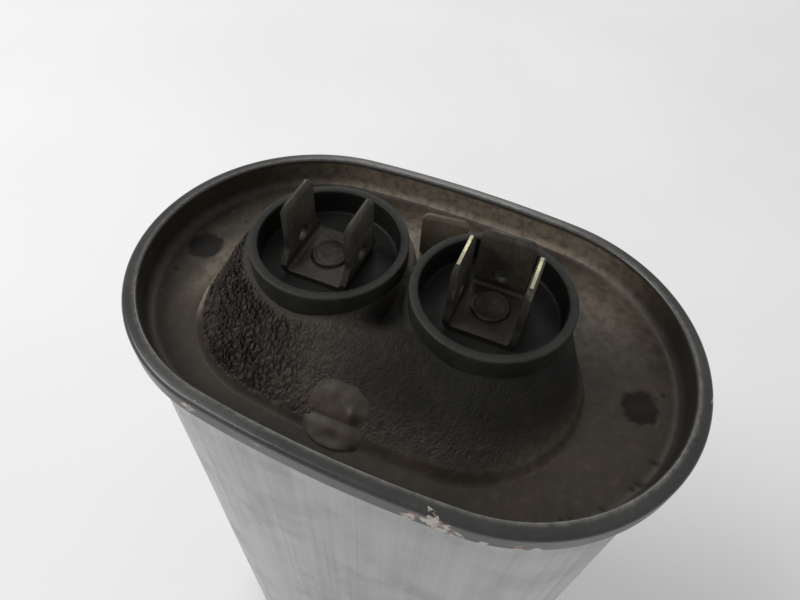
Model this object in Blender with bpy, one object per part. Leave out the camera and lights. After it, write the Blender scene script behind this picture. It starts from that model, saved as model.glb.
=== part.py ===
"""Oval motor-run capacitor with two terminal cups, as separate closed bodies.

Frame: +Z up, +X along the long axis of the oval, origin at the centre of the flat base.
Heights named *_rel are measured from the top of the double seam and are negative below it.
"""
import bpy
import bmesh
import math
from mathutils import Matrix, Vector

for old in list(bpy.data.objects):
    bpy.data.objects.remove(old, do_unlink=True)

MM = 0.001

# ---------------------------------------------------------------- driving dimensions (mm)
overall_length = 73.84      # over the seam, along X
overall_width = 48.5        # over the seam, along Y
overall_height = 120.65     # base to seam top
side_bulge = 0.69           # how far the long sides bow out beyond the end arcs
sheet_lid = 0.24
sheet_can = 0.30
seam_gap = 0.15
seam_round = 0.60           # rounding of the seam's two upper edges
fit_gap = 0.30
seam_height = 3.05
curl_drop = 1.2             # seam top to the upper face of the can's curl
panel_rel = -4.40           # upper face of the lid panel
base_corner = 1.6
can_floor = 0.6

cup_space = 1.27            # between the two cups
cup_shift = -0.16           # middle of the two cups along X
cup_line_turn = 2.1         # degrees in plan
cup_radius = 9.63
cup_wall = 1.15
cup_top_rel = 6.40
cup_floor_rel = 2.80
cup_bottom_rel = -3.00
rivet_hole = 1.85

mound_half_length = 25.6
mound_inset = 4.45          # front foot of the raised ground inside the seam's outer face
mound_behind = 1.7          # reach of the raised ground behind the cups
mound_shift = -1.0
mound_top_rel = 4.00
bay_radius = 4.6             # hollow behind the cups, in front of the case tab
bay_floor = 0.8
# inset along X, inset at the front, inset at the back, share of the mound's height
mound_steps = ((0.0, 0.0, 0.0, 0.0), (0.0, 0.0, 0.0, 0.02), (0.8, 1.2, 0.3, 0.08),
               (1.7, 2.8, 0.6, 0.22), (2.9, 5.3, 1.1, 0.48), (4.0, 7.8, 1.7, 0.74),
               (4.7, 9.4, 2.2, 0.89), (5.7, 11.2, 3.2, 0.97), (8.1, 13.8, 5.3, 1.0))

blade_width = 6.35
blade_sheet = 0.80
blade_span = 7.87           # middle to middle of the two side blades
blade_tip_rel = 12.00
blade_hole = 1.0
shoulder = 3.0              # base plate's middle to where a blade has its full width
terminal_turn = 1.5         # degrees in plan
terminal_front = 4.10       # base plate reach towards -Y
rear_reach = 3.60           # cup centre to the middle of the rear blade's sheet
side_forward = 0.70         # side blades towards -Y where there is a rear blade

fill_x = -1.0
fill_inset = 2.8            # inside the foot of the raised ground
fill_rel = -1.60            # foot of the solder on the sloping ground
fill_lean = 36.0            # degrees from upright, towards -Y
fill_radius = 3.9

tab_height = 8.1            # above the lid panel
tab_foot = 3.6
tab_turn = 8.0              # degrees in plan

winding_inset = 4.00        # winding surface below the seam's outer face
core_half_width = 3.25
winding_low = 3.3

lug_tail = 3.8

seg_end = 20
seg_side = 4
seg_cup = 36
seg_small = 24

top = overall_height
end_radius = overall_width / 2.0 - side_bulge
cup_pitch = 2.0 * cup_radius + cup_space
cup_bore = cup_radius - cup_wall
mound_front = overall_width / 2.0 - mound_inset
mound_back = cup_radius + mound_behind
fill_y = fill_inset - mound_front
tab_y = mound_back + 0.95
core_inset = overall_width / 2.0 - core_half_width
winding_high = overall_height - 19.05


# ---------------------------------------------------------------- materials
def material(name, colour, metallic, rough):
    mat = bpy.data.materials.new(name)
    mat.use_nodes = True
    shader = mat.node_tree.nodes["Principled BSDF"]
    shader.inputs["Base Color"].default_value = (colour[0], colour[1], colour[2], 1.0)
    shader.inputs["Metallic"].default_value = metallic
    shader.inputs["Roughness"].default_value = rough
    mat.diffuse_color = (colour[0], colour[1], colour[2], 1.0)
    return mat


def finish(bm, name, colour, metallic, rough, smooth_angle=35.0):
    """Turn a closed bmesh (in mm) into a named object in metres."""
    bmesh.ops.remove_doubles(bm, verts=bm.verts, dist=1e-5)
    bmesh.ops.recalc_face_normals(bm, faces=bm.faces)
    bmesh.ops.scale(bm, vec=(MM, MM, MM), verts=bm.verts)
    for face in bm.faces:
        face.smooth = True
    limit = math.radians(smooth_angle)
    for edge in bm.edges:
        if len(edge.link_faces) == 2:
            edge.smooth = edge.calc_face_angle(0.0) < limit
    mesh = bpy.data.meshes.new(name)
    bm.to_mesh(mesh)
    bm.free()
    mesh.materials.append(material(name, colour, metallic, rough))
    obj = bpy.data.objects.new(name, mesh)
    bpy.context.scene.collection.objects.link(obj)
    return obj


# ---------------------------------------------------------------- oval sections
def oval_stations(half_length, half_width, radius):
    """Centres and directions of the four tangent arcs, as (cx, cy, radius, angle)."""
    run = half_length - radius
    rise = half_width - radius
    drop = (run * run - rise * rise) / (2.0 * rise)
    side_radius = half_width + drop
    phi = math.atan2(drop, run)
    stations = []
    for k in range(seg_end):
        stations.append((run, 0.0, radius, -phi + 2.0 * phi * k / seg_end))
    for k in range(seg_side):
        stations.append((0.0, -drop, side_radius, phi + (math.pi - 2.0 * phi) * k / seg_side))
    for k in range(seg_end):
        stations.append((-run, 0.0, radius, math.pi - phi + 2.0 * phi * k / seg_end))
    for k in range(seg_side):
        angle = math.pi + phi + (math.pi - 2.0 * phi) * k / seg_side
        stations.append((0.0, drop, side_radius, angle))
    return stations


def ring_point(station, offset, height):
    cx, cy, radius, angle = station
    reach = radius + offset
    return Vector((cx + reach * math.cos(angle), cy + reach * math.sin(angle), height))


def sweep(stations, profile, closed, bm=None, shift=(0.0, 0.0)):
    """Carry a profile of (offset, height) pairs round the oval; open ends are capped flat."""
    if bm is None:
        bm = bmesh.new()
    rings = []
    for offset, height in profile:
        ring = []
        for station in stations:
            point = ring_point(station, offset, height)
            point.x += shift[0]
            point.y += shift[1]
            ring.append(bm.verts.new(point))
        rings.append(ring)
    count = len(stations)
    pairs = len(rings) if closed else len(rings) - 1
    for i in range(pairs):
        lower = rings[i]
        upper = rings[(i + 1) % len(rings)]
        for k in range(count):
            n = (k + 1) % count
            bm.faces.new((lower[k], lower[n], upper[n], upper[k]))
    if not closed:
        bm.faces.new(list(reversed(rings[0])))
        bm.faces.new(rings[-1])
    return bm


def revolve(profile, x, y, segments, bm=None):
    """Turn a closed loop of (radius, height) pairs about a vertical axis."""
    if bm is None:
        bm = bmesh.new()
    rings = []
    for radius, height in profile:
        if radius < 1e-9:
            rings.append([bm.verts.new((x, y, height))])
            continue
        ring = []
        for k in range(segments):
            a = 2.0 * math.pi * (k + 0.5) / segments
            ring.append(bm.verts.new((x + radius * math.cos(a), y + radius * math.sin(a), height)))
        rings.append(ring)
    for i in range(len(rings)):
        lower = rings[i]
        upper = rings[(i + 1) % len(rings)]
        if len(lower) == 1 and len(upper) == 1:
            continue
        for k in range(segments):
            n = (k + 1) % segments
            if len(lower) == 1:
                bm.faces.new((lower[0], upper[n], upper[k]))
            elif len(upper) == 1:
                bm.faces.new((lower[k], lower[n], upper[0]))
            else:
                bm.faces.new((lower[k], lower[n], upper[n], upper[k]))
    return bm


def plate(outline_low, outline_high, bm=None):
    """Closed body between two matching loops of points, capped by two flat faces."""
    if bm is None:
        bm = bmesh.new()
    low = [bm.verts.new(p) for p in outline_low]
    high = [bm.verts.new(p) for p in outline_high]
    count = len(low)
    for k in range(count):
        n = (k + 1) % count
        bm.faces.new((low[k], low[n], high[n], high[k]))
    bm.faces.new(list(reversed(low)))
    bm.faces.new(high)
    return bm


def ribbon(path, frame, thickness, bm=None):
    """Sheet strip. path holds (along, height, low side, high side); frame maps to 3-D."""
    if bm is None:
        bm = bmesh.new()
    rings = []
    for i, (along, height, side_a, side_b) in enumerate(path):
        ahead = path[min(i + 1, len(path) - 1)]
        behind = path[max(i - 1, 0)]
        tangent = Vector((ahead[0] - behind[0], ahead[1] - behind[1])).normalized()
        into = Vector((ahead[0] - along, ahead[1] - height))
        out = Vector((along - behind[0], height - behind[1]))
        stretch = 1.0
        if into.length > 1e-6 and out.length > 1e-6:
            half = into.angle(out) / 2.0
            stretch = 1.0 / math.cos(half)
            tangent = (into.normalized() + out.normalized()).normalized()
        normal = Vector((-tangent.y, tangent.x)) * (thickness / 2.0) * stretch
        corners = []
        for side, sign in ((side_a, -1), (side_b, -1), (side_b, 1), (side_a, 1)):
            corners.append(frame(along + sign * normal.x, side, height + sign * normal.y))
        rings.append([bm.verts.new(c) for c in corners])
    for i in range(len(rings) - 1):
        for k in range(4):
            n = (k + 1) % 4
            bm.faces.new((rings[i][k], rings[i][n], rings[i + 1][n], rings[i + 1][k]))
    bm.faces.new(list(reversed(rings[0])))
    bm.faces.new(rings[-1])
    return bm


def tube(points, radius, segments, bm=None):
    """Round wire through a list of points lying in one vertical plane along Y."""
    if bm is None:
        bm = bmesh.new()
    rings = []
    side = Vector((1.0, 0.0, 0.0))
    for i, point in enumerate(points):
        here = Vector(point)
        before = Vector(points[max(i - 1, 0)])
        after = Vector(points[min(i + 1, len(points) - 1)])
        tangent = (after - before).normalized()
        other = tangent.cross(side).normalized()
        ring = []
        for k in range(segments):
            a = 2.0 * math.pi * k / segments
            ring.append(bm.verts.new(here + radius * (math.cos(a) * side + math.sin(a) * other)))
        rings.append(ring)
    for i in range(len(rings) - 1):
        for k in range(segments):
            n = (k + 1) % segments
            bm.faces.new((rings[i][k], rings[i][n], rings[i + 1][n], rings[i + 1][k]))
    bm.faces.new(list(reversed(rings[0])))
    bm.faces.new(rings[-1])
    return bm


def combine(obj, cutter_bm, operation):
    """Boolean a cutter (bmesh in mm) with an object and apply it."""
    bmesh.ops.recalc_face_normals(cutter_bm, faces=cutter_bm.faces)
    bmesh.ops.scale(cutter_bm, vec=(MM, MM, MM), verts=cutter_bm.verts)
    mesh = bpy.data.meshes.new("cutter")
    cutter_bm.to_mesh(mesh)
    cutter_bm.free()
    cutter = bpy.data.objects.new("cutter", mesh)
    bpy.context.scene.collection.objects.link(cutter)
    cutter.hide_render = True
    cutter.display_type = "WIRE"
    step = obj.modifiers.new("combine", "BOOLEAN")
    step.operation = operation
    step.solver = "EXACT"
    step.object = cutter
    depsgraph = bpy.context.evaluated_depsgraph_get()
    result = bpy.data.meshes.new_from_object(obj.evaluated_get(depsgraph))
    obj.modifiers.remove(step)
    previous = obj.data
    obj.data = result
    bpy.data.meshes.remove(previous)
    bpy.data.objects.remove(cutter, do_unlink=True)
    bpy.data.meshes.remove(mesh)


def post(x, y, radius, low, high, segments):
    """Upright cylinder."""
    loop = ((0.0, low), (radius, low), (radius, high), (0.0, high))
    return revolve(loop, x, y, segments)


def rod(centre, direction, radius, length, segments):
    """Cylinder along any direction, centred on a point."""
    bm = post(0.0, 0.0, radius, -length / 2.0, length / 2.0, segments)
    turn = Vector((0.0, 0.0, 1.0)).rotation_difference(Vector(direction)).to_matrix().to_4x4()
    bmesh.ops.transform(bm, matrix=Matrix.Translation(Vector(centre)) @ turn, verts=bm.verts)
    return bm


# ---------------------------------------------------------------- case, lid and seam
oval = oval_stations(overall_length / 2.0, overall_width / 2.0, end_radius)

hook_out = -(sheet_lid + seam_gap)
hook_in = hook_out - sheet_can
cover_out = hook_in - seam_gap
cover_in = cover_out - sheet_lid
wall_out = cover_in - seam_gap
wall_in = wall_out - sheet_can
chuck_out = wall_in - seam_gap
chuck_in = chuck_out - sheet_lid

curl_top = top - curl_drop
curl_low = curl_top - sheet_can
cover_top = curl_low - fit_gap
seam_low = top - seam_height
turn_low = seam_low + sheet_lid
hook_end = turn_low + seam_gap

can_profile = [(wall_in - 2.0, can_floor), (wall_in - 0.5, can_floor + 0.12)]
can_profile.append((wall_in, can_floor + 1.2))
can_profile.append((wall_in, curl_top - 0.22))
can_profile.append((wall_in + 0.22, curl_top))
can_profile.append((hook_out - 0.22, curl_top))
can_profile.append((hook_out, curl_top - 0.22))
can_profile.append((hook_out, hook_end))
can_profile.append((hook_in, hook_end))
can_profile.append((hook_in, curl_low))
can_profile.append((wall_out, curl_low))
can_profile.append((wall_out, base_corner))
for k in range(1, 4):
    a = math.pi / 2.0 * k / 4.0
    drop = base_corner * (1.0 - math.cos(a))
    can_profile.append((wall_out - drop, base_corner * (1.0 - math.sin(a))))
can_profile.append((wall_out - base_corner, 0.0))
finish(sweep(oval, can_profile, False), "can", (0.72, 0.72, 0.71), 1.0, 0.38)

panel_top = top + panel_rel
panel_low = panel_top - sheet_lid
lid_profile = [(chuck_in - 1.3, panel_top), (chuck_in - 0.45, panel_top + 0.25)]
lid_profile.append((chuck_in, panel_top + 1.0))
round_out = chuck_in + seam_round
lid_profile.append((chuck_in, top - seam_round))
lid_profile.append((chuck_in + 0.29 * seam_round, top - 0.29 * seam_round))
lid_profile.append((round_out, top))
lid_profile.append((-seam_round, top))
lid_profile.append((-0.29 * seam_round, top - 0.29 * seam_round))
lid_profile.append((0.0, top - seam_round))
lid_profile.append((0.0, seam_low + 0.25))
lid_profile.append((-0.25, seam_low))
lid_profile.append((cover_in + 0.15, seam_low))
lid_profile.append((cover_in, seam_low + 0.15))
lid_profile.append((cover_in, cover_top))
lid_profile.append((cover_out, cover_top))
lid_profile.append((cover_out, turn_low))
lid_profile.append((-sheet_lid, turn_low))
inner_round = seam_round - sheet_lid
lid_profile.append((-sheet_lid, top - seam_round))
lid_profile.append((-sheet_lid - 0.29 * inner_round, top - sheet_lid - 0.29 * inner_round))
lid_profile.append((-seam_round, top - sheet_lid))
lid_profile.append((round_out, top - sheet_lid))
lid_profile.append((chuck_out + 0.29 * inner_round, top - sheet_lid - 0.29 * inner_round))
lid_profile.append((chuck_out, top - seam_round))
lid_profile.append((chuck_out, panel_top + 0.85))
lid_profile.append((chuck_in - 0.30, panel_low + 0.28))
lid_profile.append((chuck_in - 1.3, panel_low))
lid = finish(sweep(oval, lid_profile, False), "lid", (0.36, 0.34, 0.31), 0.3, 0.5)

cup_centres = []
for sign in (-1.0, 1.0):
    a = math.radians(cup_line_turn)
    reach = sign * cup_pitch / 2.0
    cup_centres.append((cup_shift + reach * math.cos(a), reach * math.sin(a)))

for cx, cy in cup_centres:
    combine(lid, post(cx, cy, 5.0, panel_low - 2.0, panel_top + 2.0, seg_small), "DIFFERENCE")
vent_y = fill_y + (fill_rel - panel_rel) * math.tan(math.radians(fill_lean))
combine(lid, post(fill_x, vent_y, 1.6, panel_low - 2.0, panel_top + 2.0, 16), "DIFFERENCE")
for px, py in ((-31.05, -0.22), (30.36, 0.43)):
    dent = revolve(((0.0, panel_top - 0.14), (1.2, panel_top - 0.14), (2.3, panel_top + 0.06),
                    (0.0, panel_top + 0.06)), px, py, 16)
    combine(lid, dent, "DIFFERENCE")

ring_low = curl_top + 0.2
ring_high = top - sheet_lid - 0.2
ring_out = -seam_round - 0.06
ring_in = round_out + 0.06
seal_loop = ((ring_in, ring_low), (ring_out, ring_low), (ring_out, ring_high), (ring_in, ring_high))
finish(sweep(oval, seal_loop, True), "seam_compound", (0.10, 0.10, 0.09), 0.0, 0.7)

# ---------------------------------------------------------------- raised ground round the cups
floor_z = panel_top + fit_gap
crest = top + mound_top_rel
ground_bm = bmesh.new()
levels = []
for run_in, front_in, back_in, part in mound_steps:
    front = mound_front - front_in
    back = mound_back - back_in
    width = (front + back) / 2.0
    ring = oval_stations(mound_half_length - run_in, width, width - 0.5)
    height = floor_z + (crest - floor_z) * part
    shift = Vector((mound_shift, (back - front) / 2.0, 0.0))
    levels.append([ground_bm.verts.new(ring_point(s, 0.0, height) + shift) for s in ring])
for lower, upper in zip(levels, levels[1:]):
    for k in range(len(lower)):
        n = (k + 1) % len(lower)
        ground_bm.faces.new((lower[k], lower[n], upper[n], upper[k]))
ground_bm.faces.new(list(reversed(levels[0])))
ground_bm.faces.new(levels[-1])
ground = finish(ground_bm, "terminal_compound", (0.34, 0.33, 0.30), 0.0, 0.8)
for cx, cy in cup_centres:
    hole = post(cx, cy, cup_radius + fit_gap, floor_z - 1.0, crest + 1.0, seg_cup)
    combine(ground, hole, "DIFFERENCE")
bay = post(0.0, tab_y, bay_radius, floor_z + bay_floor, crest + 1.0, seg_small)
combine(ground, bay, "DIFFERENCE")

lean = math.radians(fill_lean)
out_y = -math.sin(lean)
out_z = math.cos(lean)
seat = Vector((fill_x, fill_y, top + fill_rel))
stem = rod(seat, (0.0, out_y, out_z), 1.1 + fit_gap, 16.0, 12)
combine(ground, stem, "DIFFERENCE")
fill_loop = ((0.0, -1.6), (1.1, -1.6), (1.1, 0.0), (fill_radius, 0.0), (fill_radius - 0.1, 0.4),
             (fill_radius - 0.7, 0.95), (2.2, 1.3), (1.0, 1.5), (0.0, 1.55))
blob = revolve(fill_loop, 0.0, 0.0, seg_small)
turn = Matrix.Rotation(lean, 4, "X")
bmesh.ops.transform(blob, matrix=Matrix.Translation(seat) @ turn, verts=blob.verts)
finish(blob, "fill_solder", (0.40, 0.39, 0.36), 0.6, 0.45)

# ---------------------------------------------------------------- cups, gaskets, insulators
sides = ("left", "right")
for side, (cx, cy) in zip(sides, cup_centres):
    bottom = top + cup_bottom_rel
    floor = top + cup_floor_rel
    rim = top + cup_top_rel
    loop = ((rivet_hole, bottom), (cup_radius - 0.5, bottom), (cup_radius, bottom + 0.5),
            (cup_radius, rim - 0.22), (cup_radius - 0.22, rim), (cup_bore + 0.22, rim),
            (cup_bore, rim - 0.22), (cup_bore, floor + 0.4), (cup_bore - 0.4, floor),
            (rivet_hole, floor))
    finish(revolve(loop, cx, cy, seg_cup), "terminal_cup_" + side, (0.20, 0.21, 0.19), 0.0, 0.6)

    low = panel_top + fit_gap
    high = bottom - fit_gap
    loop = ((rivet_hole, low), (cup_radius - 1.0, low), (cup_radius - 1.0, high), (rivet_hole, high))
    finish(revolve(loop, cx, cy, seg_small), "cup_gasket_" + side, (0.05, 0.05, 0.05), 0.0, 0.85)

    disc_top = panel_low - fit_gap
    disc = cup_radius - 1.4
    loop = ((rivet_hole, disc_top - 1.4), (disc, disc_top - 1.4), (disc, disc_top), (4.7, disc_top),
            (4.7, panel_top), (rivet_hole, panel_top))
    finish(revolve(loop, cx, cy, seg_small), "inner_insulator_" + side, (0.30, 0.16, 0.08), 0.0, 0.6)


# ---------------------------------------------------------------- terminals
def blade_path(reach, sign, base_height, tip, low_side, high_side, forward=0.0):
    """Base plate from its middle out to a blade tip, bent up through a small radius."""
    bend = 1.0
    low = -blade_width / 2.0 - forward
    high = blade_width / 2.0 - forward
    points = [(sign * (reach - bend - 0.35), base_height, -low_side, high_side)]
    for k in range(0, 4):
        a = math.pi / 2.0 * k / 3.0
        along = reach - bend + bend * math.sin(a)
        points.append((sign * along, base_height + bend * (1.0 - math.cos(a)), -low_side, high_side))
    points.append((sign * reach, base_height + shoulder, low, high))
    points.append((sign * reach, tip - 1.1, low, high))
    points.append((sign * reach, tip - 0.35, low + 0.62, high - 0.62))
    points.append((sign * reach, tip, low + 1.0, high - 1.0))
    return points


def terminal(name, cx, cy, rear_blade):
    turn = math.radians(terminal_turn)
    cos_t = math.cos(turn)
    sin_t = math.sin(turn)

    def across(along, side, height):
        return Vector((cx + along * cos_t - side * sin_t, cy + along * sin_t + side * cos_t, height))

    def backward(along, side, height):
        return across(-side, along, height)

    base = top + cup_floor_rel + fit_gap + blade_sheet / 2.0
    tip = top + blade_tip_rel
    reach = blade_span / 2.0
    rear = rear_reach - 1.05 if rear_blade else 4.0
    forward = side_forward if rear_blade else 0.0
    right = blade_path(reach, 1.0, base, tip, terminal_front, rear, forward)
    left = blade_path(reach, -1.0, base, tip, terminal_front, rear, forward)
    path = list(reversed(left)) + right
    body = finish(ribbon(path, across, blade_sheet), name, (0.50, 0.46, 0.36), 1.0, 0.42, 50.0)
    hole_z = tip - 6.3
    if rear_blade:
        strip = [(1.5, base, -blade_width / 2.0, blade_width / 2.0)]
        strip += blade_path(rear_reach, 1.0, base, tip - 0.1, blade_width / 2.0, blade_width / 2.0)[1:]
        combine(body, ribbon(strip, backward, blade_sheet - 0.02), "UNION")
        centre = backward(rear_reach, 0.0, hole_z)
        combine(body, rod(centre, (-sin_t, cos_t, 0.0), blade_hole, 3.0, 12), "DIFFERENCE")
    for sign in (-1.0, 1.0):
        centre = across(sign * reach, -forward, hole_z)
        combine(body, rod(centre, (cos_t, sin_t, 0.0), blade_hole, 3.0, 12), "DIFFERENCE")
    combine(body, post(cx, cy, rivet_hole, base - 3.0, base + 3.0, 16), "DIFFERENCE")
    return base


tab_cos = math.cos(math.radians(tab_turn))
tab_sin = math.sin(math.radians(tab_turn))


def tab_frame(along, side, height):
    return Vector((side * tab_cos - along * tab_sin, tab_y + side * tab_sin + along * tab_cos, height))


tab_low = panel_top + fit_gap + blade_sheet / 2.0
tab_high = panel_top + tab_height
half = blade_width / 2.0
tab_path = [(tab_foot, tab_low, -half, half)]
for k in range(4):
    a = math.pi / 2.0 * k / 3.0
    tab_path.append((1.0 - math.sin(a), tab_low + 1.0 - math.cos(a), -half, half))
tab_path.append((0.0, tab_high - 1.1, -half, half))
tab_path.append((0.0, tab_high - 0.35, -half + 0.62, half - 0.62))
tab_path.append((0.0, tab_high, -half + 1.0, half - 1.0))
finish(ribbon(tab_path, tab_frame, blade_sheet), "case_tab", (0.42, 0.38, 0.30), 1.0, 0.45, 50.0)

names = ("two_blade_terminal", "three_blade_terminal")
for side, name, (cx, cy) in zip(sides, names, cup_centres):
    base = terminal(name, cx, cy, name.startswith("three"))
    head_low = base + blade_sheet / 2.0 + fit_gap
    lug_top = panel_low - fit_gap - 1.4 - fit_gap
    lug_low = lug_top - 0.6
    foot = lug_low - fit_gap
    loop = ((0.0, foot - 0.7), (1.7, foot - 0.7), (2.3, foot - 0.3), (2.3, foot), (1.5, foot),
            (1.5, head_low), (2.3, head_low), (2.2, head_low + 0.3), (1.5, head_low + 0.55),
            (0.0, head_low + 0.6))
    finish(revolve(loop, cx, cy, 16), "rivet_" + side, (0.55, 0.50, 0.38), 1.0, 0.4)

    def lug_frame(along, across, height, cx=cx, cy=cy):
        return Vector((cx + across, cy + along, height))

    mid = lug_top - 0.3
    lug_path = [(-3.3, mid, -1.6, 1.6), (-2.0, mid, -3.0, 3.0), (2.0, mid, -3.0, 3.0)]
    lug_path += [(3.2, mid, -1.5, 1.5), (3.9, mid, -1.5, 1.5), (4.35, mid - 0.2, -1.5, 1.5)]
    lug_path += [(4.55, mid - 0.65, -1.5, 1.5), (4.55, mid - lug_tail, -1.5, 1.5)]
    lug = finish(ribbon(lug_path, lug_frame, 0.6), "solder_lug_" + side, (0.62, 0.60, 0.55), 1.0, 0.35)
    combine(lug, post(cx, cy, rivet_hole, mid - 2.0, mid + 2.0, 16), "DIFFERENCE")

# ---------------------------------------------------------------- wound element
wall = winding_inset
core_hole = core_inset - fit_gap
wrap_out = wall - fit_gap - 0.6
wrap_in = wall - fit_gap


def band(name, outer, inner, low, high, colour, metallic, rough):
    loop = ((-inner, low), (-outer, low), (-outer, high), (-inner, high))
    return finish(sweep(oval, loop, True), name, colour, metallic, rough)


band("winding", wall, core_hole, winding_low, winding_high, (0.74, 0.74, 0.72), 0.2, 0.35)
band("winding_core", core_inset, core_inset + 1.0, winding_low, winding_high,
     (0.80, 0.78, 0.70), 0.0, 0.5)
spray = 0.8
band("end_spray_bottom", wall, core_hole, winding_low - fit_gap - spray, winding_low - fit_gap,
     (0.45, 0.46, 0.48), 1.0, 0.7)
spray_top = winding_high + fit_gap + spray
band("end_spray_top", wall, core_hole, winding_high + fit_gap, spray_top,
     (0.45, 0.46, 0.48), 1.0, 0.7)
band("element_wrap", wrap_out, wrap_in, winding_low - fit_gap - spray, spray_top,
     (0.70, 0.62, 0.42), 0.0, 0.5)

base_low = can_floor + fit_gap
base_high = winding_low - fit_gap - spray - fit_gap
pad = ((-3.6, base_low), (-3.6, base_high))
finish(sweep(oval, pad, False), "bottom_insulator", (0.52, 0.40, 0.25), 0.0, 0.8)
cap_low = spray_top + fit_gap
cap_high = cap_low + 1.0
cover = finish(sweep(oval, ((-3.6, cap_low), (-3.6, cap_high)), False), "top_insulator",
               (0.52, 0.40, 0.25), 0.0, 0.8)

# ---------------------------------------------------------------- leads
lead = 0.9
lug_top = panel_low - 2.0 * fit_gap - 1.4
tail_y = 4.55 + 0.3 + fit_gap + lead
lead_top = lug_top - 1.5
(left_x, left_y), (right_x, right_y) = cup_centres
for hx, hy in ((left_x, left_y + tail_y), (right_x, 0.0)):
    combine(cover, post(hx, hy, lead + 0.5, cap_low - 2.0, cap_high + 2.0, 16), "DIFFERENCE")

start = (left_x, left_y + tail_y, lead_top)
stop = (left_x, left_y + tail_y, spray_top + 2.0)
finish(tube((start, stop), lead, 10), "lead_wire_left", (0.55, 0.12, 0.08), 0.0, 0.5)
joint = ((0.0, spray_top + fit_gap), (1.2, spray_top + fit_gap), (1.2, spray_top + 0.7),
         (0.7, spray_top + 1.4), (0.0, spray_top + 1.7))
finish(revolve(joint, left_x, left_y + tail_y, 12), "solder_joint_top", (0.66, 0.66, 0.66), 1.0, 0.35)

bend_high = lug_top - lug_tail - 0.6
bend_low = cap_high + 1.2
path = [(right_x, right_y + tail_y, lead_top), (right_x, right_y + tail_y, bend_high)]
for k in range(1, 6):
    s = k / 6.0
    ease = s * s * (3.0 - 2.0 * s)
    path.append((right_x, (right_y + tail_y) * (1.0 - ease), bend_high + (bend_low - bend_high) * s))
path.append((right_x, 0.0, bend_low))
path.append((right_x, 0.0, winding_low))
finish(tube(path, lead, 10), "lead_wire_right", (0.05, 0.05, 0.06), 0.0, 0.5)
joint_low = winding_low - fit_gap - spray
joint = ((0.0, joint_low + 0.1), (1.0, joint_low + 0.1), (1.3, joint_low + 0.3),
         (1.3, winding_low - fit_gap - 0.1), (0.0, winding_low - fit_gap))
finish(revolve(joint, right_x, 0.0, 12), "solder_joint_bottom", (0.66, 0.66, 0.66), 1.0, 0.35)
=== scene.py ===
import bpy
import bmesh
import math
import numpy as np
from mathutils import Matrix, Vector


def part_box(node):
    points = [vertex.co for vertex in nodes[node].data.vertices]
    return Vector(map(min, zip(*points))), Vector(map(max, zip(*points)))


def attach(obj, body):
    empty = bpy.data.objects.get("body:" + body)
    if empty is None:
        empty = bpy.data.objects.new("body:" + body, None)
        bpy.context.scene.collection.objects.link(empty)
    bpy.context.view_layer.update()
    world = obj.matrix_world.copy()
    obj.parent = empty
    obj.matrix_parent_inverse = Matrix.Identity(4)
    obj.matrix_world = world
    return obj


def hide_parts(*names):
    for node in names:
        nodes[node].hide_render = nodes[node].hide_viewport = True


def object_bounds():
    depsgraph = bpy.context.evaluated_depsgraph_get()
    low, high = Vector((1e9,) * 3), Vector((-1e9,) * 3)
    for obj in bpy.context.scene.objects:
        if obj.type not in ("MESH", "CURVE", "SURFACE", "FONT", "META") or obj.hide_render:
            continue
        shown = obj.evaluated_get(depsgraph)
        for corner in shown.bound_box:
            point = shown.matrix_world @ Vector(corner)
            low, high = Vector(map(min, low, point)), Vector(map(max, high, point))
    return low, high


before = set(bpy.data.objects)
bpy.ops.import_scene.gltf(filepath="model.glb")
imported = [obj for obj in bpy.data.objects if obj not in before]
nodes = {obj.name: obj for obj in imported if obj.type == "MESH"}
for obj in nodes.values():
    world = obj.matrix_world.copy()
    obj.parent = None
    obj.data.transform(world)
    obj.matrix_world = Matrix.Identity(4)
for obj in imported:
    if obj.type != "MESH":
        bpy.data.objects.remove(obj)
cad_low, cad_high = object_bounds()
MM = 0.001

# ------------------------------------------------------------------ sizes (mm), as the frame has them
lid_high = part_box("lid")[1]
top = lid_high.z / MM                       # seam top
half_length = lid_high.x / MM
half_width = lid_high.y / MM
side_bulge = 0.69                           # how far the long sides swell beyond straight ones
end_radius = half_width - side_bulge
panel_drop = 4.40                           # seam top to the recessed panel
panel = top - panel_drop
sheet = 0.24                                # lid
can_sheet = 0.30
seam_height = 3.05
# faces of the seam's layers, measured inward from its outer face
chuck = -1.88                               # lid wall, face towards the panel
can_wall = -1.21                            # can wall, outer face
lid_hook = (-1.06, -0.82)
can_hook = (-0.67, -0.39)
cups = []
for side in ("left", "right"):
    low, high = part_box("terminal_cup_" + side)
    cups.append(((low.x + high.x) / 2 / MM, (low.y + high.y) / 2 / MM))
cup_radius = 9.63
cup_bore = 8.48                             # radius at the mouth
cup_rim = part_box("terminal_cup_left")[1].z / MM
cup_floor = top + 2.80
blade_tip = cad_high.z / MM
blade_half = 3.175                          # half the width
blade_sheet = 0.8
blade_reach = 3.935                         # cup centre to the middle of a side blade's sheet
blade_hole_drop = 6.3                       # tip to hole
rear_reach = 3.60                           # cup centre to the middle of the rear blade's sheet
side_forward = 0.70                         # side blades of the three-blade terminal sit forward
turn = math.radians(1.5)                    # both terminals are turned a little


# ------------------------------------------------------------------ smooth noise in plain numbers
def lattice(ix, iy, seed):
    """Fixed value from 0 to 1 for each lattice point."""
    h = (ix * 374761393 + iy * 668265263 + seed * 974634777) & 0xFFFFFFFF
    h = ((h ^ (h >> 13)) * 1274126177) & 0xFFFFFFFF
    return ((h ^ (h >> 16)) & 0xFFFFFF) / float(0xFFFFFF)


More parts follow.
